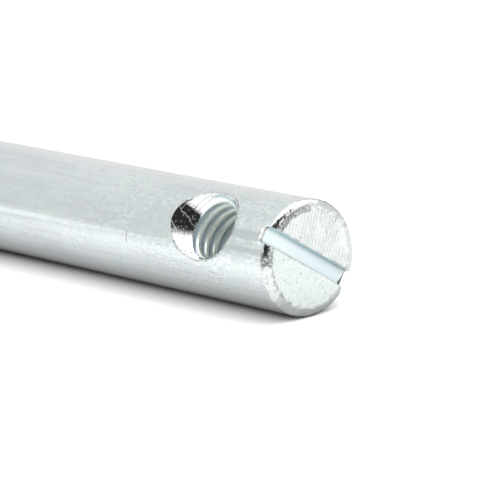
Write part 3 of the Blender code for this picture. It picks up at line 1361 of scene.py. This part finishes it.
# %% [markdown]
# ## The camera
# The photograph was taken from a steep angle with a long lens, close enough for the rod to
# taper a little. The camera stands at the same place relative to the dowel. Its roll is
# large because the real rod lay on its side, while this one stands on its end.

# %% Camera
CAMERA_REACH = 175.34 * MM
CAMERA_HEIGHT = 257.57 * MM
CAMERA_PLACE_TURN = math.radians(13.64)
VIEW_TURN = math.radians(13.75)
VIEW_RISE = math.radians(49.73)
VIEW_ROLL = math.radians(101.49)
LENS = 237.555


def view_axes():
    """The camera's right, up and back directions."""
    flat = math.cos(VIEW_RISE)
    back = Vector((math.sin(VIEW_TURN) * flat, -math.cos(VIEW_TURN) * flat, math.sin(VIEW_RISE)))
    level = Vector((math.cos(VIEW_TURN), math.sin(VIEW_TURN), 0.0))
    above = back.cross(level)
    right = level * math.cos(VIEW_ROLL) + above * math.sin(VIEW_ROLL)
    return right, back.cross(right), back


right, up, back = view_axes()
camera_data = bpy.data.cameras.new("camera")
camera_data.lens = LENS
camera_data.clip_start = 10 * MM
camera_data.clip_end = 10.0
camera = placed("camera", camera_data)
camera_spot = Vector((
    CAMERA_REACH * math.sin(CAMERA_PLACE_TURN),
    -CAMERA_REACH * math.cos(CAMERA_PLACE_TURN),
    CAMERA_HEIGHT,
))
camera_axes = Matrix((right, up, back)).transposed().to_4x4()
camera.matrix_world = Matrix.Translation(camera_spot) @ camera_axes
bpy.context.scene.camera = camera
print("camera at", [round(value, 4) for value in camera_spot])

# %% [markdown]
# ## The studio
# Bare metal has no look of its own: it shows what stands round it. In the photograph the
# rod lies on a white table in a bright tent, and the side towards the photographer is
# dark. Here a pale floor carries the rod's end, and a white board stands along its side
# where the table was. In the photograph the table is overexposed: it is white right up to
# the rod, with a short dark shadow. Light Path gives the board one level for the camera
# and a lower one for reflections, and an Ambient Occlusion node keeps the rod's shadow in
# both. The board is seen from its front only. In the photograph it has no end below the
# rod, so it goes on below the floor, and reflections look through the floor's near strip.

# %% Paints for floor and board
STAGE_SIZE = 3.0
BOARD_HEIGHT = 1.2
BOARD_DEPTH = 0.2
STRIP_EDGE = 0.4 * MM
BOARD_GAP = 0.02 * MM
BOARD_TURN = math.radians(125.0)
FLOOR_GREY = (0.72, 0.72, 0.72, 1.0)
FLOOR_FAR_GREY = (0.46, 0.46, 0.46, 1.0)
FLOOR_FRONT = (0.98, 0.98, 0.98, 1.0)
FLOOR_WHITE = (1.0, 1.0, 1.0, 1.0)
FRONT_BLEND = 15 * MM
NEAR_ROD = 50 * MM
FAR_FROM_ROD = 110 * MM
BOARD_GREY = (0.95, 0.95, 0.95, 1.0)
BOARD_TO_CAMERA = 1.9
BOARD_TO_METAL = 1.22
SHADOW_REACH = 30 * MM
FOOT_LIGHT = 1.3
METAL_FOOT, METAL_FOOT_LIGHT = 15 * MM, 1.12
BELOW_FLOOR = 0.80
CONTACT_REACH = 0.18

board_facing = Vector((-math.sin(BOARD_TURN), math.cos(BOARD_TURN), 0.0))


def along_axis(place, axis):
    """How far a place lies along an axis."""
    return vector_math("DOT_PRODUCT", place, axis, "Value")


def matt_paint(name, colour):
    """A matt material and its Principled shader."""
    material = bpy.data.materials.new(name)
    material.use_nodes = True
    shader = material.node_tree.nodes["Principled BSDF"]
    shader.inputs["Roughness"].default_value = 0.9
    shader.inputs["Specular IOR Level"].default_value = 0.0
    shader.inputs["Base Color"].default_value = colour
    return material, shader


def mixed(share, first, second=None):
    """A mix of two shaders; without a second one, the first goes clear."""
    second = second or new_node(share.tree, "ShaderNodeBsdfTransparent").outputs[0]
    return new_node(share.tree, "ShaderNodeMixShader", {0: share, 1: first, 2: second}).outputs[0]


def with_surface(material, shader):
    """The material once this shader is what it shows."""
    feed(material.node_tree.nodes["Material Output"].inputs["Surface"], shader)
    return material


def floor_paper():
    """Matt paper, white to the camera and greyer away from the rod to the metal."""
    material, shader = matt_paint("floor_paper", FLOOR_GREY)
    tree = material.node_tree
    ray = outputs_of(new_node(tree, "ShaderNodeLightPath"))
    place = object_place(tree)
    x, y, z = xyz(place)
    away = between(vector_math("LENGTH", place, output="Value"), NEAR_ROD, FAR_FROM_ROD)
    far_colour = blended(between(y, -FRONT_BLEND, FRONT_BLEND), FLOOR_FRONT, FLOOR_FAR_GREY)
    grey = blended(away, FLOOR_GREY, far_colour)
    feed(shader.inputs["Base Color"], blended(ray["Is Camera Ray"], grey, FLOOR_WHITE))
    strip = calculated("LESS_THAN", along_axis(place, board_facing), STRIP_EDGE)
    return with_surface(material, mixed(strip * ray["Is Glossy Ray"], shader.outputs[0]))


def board_card():
    """White card whose only shadow is the rod's, seen from its front alone."""
    material, shader = matt_paint("board_card", BOARD_GREY)
    tree = material.node_tree
    ray = outputs_of(new_node(tree, "ShaderNodeLightPath"))
    to_camera, to_metal = ray["Is Camera Ray"], ray["Is Glossy Ray"]
    shade = new_node(tree, "ShaderNodeAmbientOcclusion", {"Distance": SHADOW_REACH})
    openness = outputs_of(shade)["AO"]
    openness = openness * between(openness, 0.0, CONTACT_REACH)
    x, y, z = xyz(object_place(tree))
    foot = between(z, 0.0, METAL_FOOT, METAL_FOOT_LIGHT, 1.0)
    foot = foot * between(z, -MM, 0.0, BELOW_FLOOR, 1.0)
    level = to_camera * BOARD_TO_CAMERA + to_metal * BOARD_TO_METAL * foot
    level = level * between(abs(z), 0.0, SHADOW_REACH, FOOT_LIGHT, 1.0)
    glow = new_node(tree, "ShaderNodeEmission", {"Strength": level * openness}).outputs[0]
    lit = mixed(to_camera + to_metal, shader.outputs[0], glow)
    backfacing = outputs_of(new_node(tree, "ShaderNodeNewGeometry"))["Backfacing"]
    return with_surface(material, mixed(backfacing, lit))


# %% Floor and board
def stage_plane(name, corners, material):
    mesh = bpy.data.meshes.new(name)
    mesh.from_pydata(corners, [], [range(len(corners))])
    mesh.materials.append(material)
    plane = placed(name, mesh)
    return plane


def corners_of(point, sides, heights):
    """Four corners in order, each from the point for a side and a height."""
    (left, right), (low, high) = sides, heights
    return [point(left, low), point(right, low), point(right, high), point(left, high)]


def floor_point(x, y):
    return Vector((x, y, 0.0))


def board_point(along, height):
    """A point of the board, by its offset along it and its height."""
    board_along = Vector((-board_facing.y, board_facing.x, 0.0))
    foot = board_facing * -(ROD_RADIUS + BOARD_GAP)
    return foot + board_along * along + Vector((0.0, 0.0, height))


sides = (-STAGE_SIZE / 2, STAGE_SIZE / 2)
stage_plane("floor", corners_of(floor_point, sides, sides), floor_paper())
board_corners = corners_of(board_point, sides, (-BOARD_DEPTH, BOARD_HEIGHT))
board = stage_plane("board", board_corners, board_card())
board.visible_shadow = False
facing = board.data.polygons[0].normal.dot(board_facing)
print("board faces the rod:", facing > 0)

# %% [markdown]
# The light is soft: a plain pale world, and a large panel above the rod as the camera sees
# it. A dark card hangs where the photographer stood. Only reflections see it, so it puts
# the deep tone into the countersink without darkening anything else.

# %% World, panel and dark card
WORLD_GREY = (0.90, 0.90, 0.90, 1.0)
PANEL_SIZE = 0.9
PANEL_DISTANCE = 0.45
PANEL_LIGHT = 1.3
CARD_DISTANCE = 0.30
CARD_WIDTH = 0.42
CARD_RISE = degrees(-8.0, 75.0)
CARD_FADE = degrees(34.0, 72.0)
CARD_DARK = (0.022, 0.022, 0.022, 1.0)

world = bpy.data.worlds.new("tent")
bpy.context.scene.world = world
world.use_nodes = True
sky = world.node_tree.nodes["Background"]
ray = outputs_of(new_node(world.node_tree, "ShaderNodeLightPath"))
feed(sky.inputs["Color"], blended(ray["Is Camera Ray"], WORLD_GREY, FLOOR_WHITE))
sky.inputs["Strength"].default_value = 1.0

hole_centre = Vector((0.0, -ROD_RADIUS, HOLE_HEIGHT))
panel_data = bpy.data.lights.new("panel", "AREA")
panel_data.size = PANEL_SIZE
panel_data.energy = PANEL_LIGHT * math.pi * PANEL_SIZE**2
panel = placed("panel", panel_data)
panel.location = hole_centre + up * PANEL_DISTANCE
panel.rotation_euler = up.to_track_quat("Z", "Y").to_euler()


def card_point(across, rise):
    """A point of the card, by its offset to the right and its angle above level."""
    ahead = back * math.cos(rise) + up * math.sin(rise)
    return hole_centre + ahead * CARD_DISTANCE + right * across


def fading_card():
    """Dark paint that goes clear towards the card's top."""
    material, shader = matt_paint("dark_card", CARD_DARK)
    place = object_place(material.node_tree)
    rise = along_axis(place, up) - hole_centre.dot(up)
    ahead = along_axis(place, back) - hole_centre.dot(back)
    fade = between(calculated("ARCTAN2", rise, ahead), *CARD_FADE)
    return with_surface(material, mixed(fade, shader.outputs[0]))


card_corners = corners_of(card_point, (-CARD_WIDTH / 2, CARD_WIDTH / 2), CARD_RISE)
card = stage_plane("dark_card", card_corners, fading_card())
for rays in ("camera", "diffuse", "shadow", "transmission"):
    setattr(card, "visible_" + rays, False)
print("panel at", [round(value, 3) for value in panel.location])

# %% [markdown]
# ## Last words
# The view is shown plainly, with no film look.

# %% Finish
bpy.context.scene.view_settings.view_transform = "Standard"
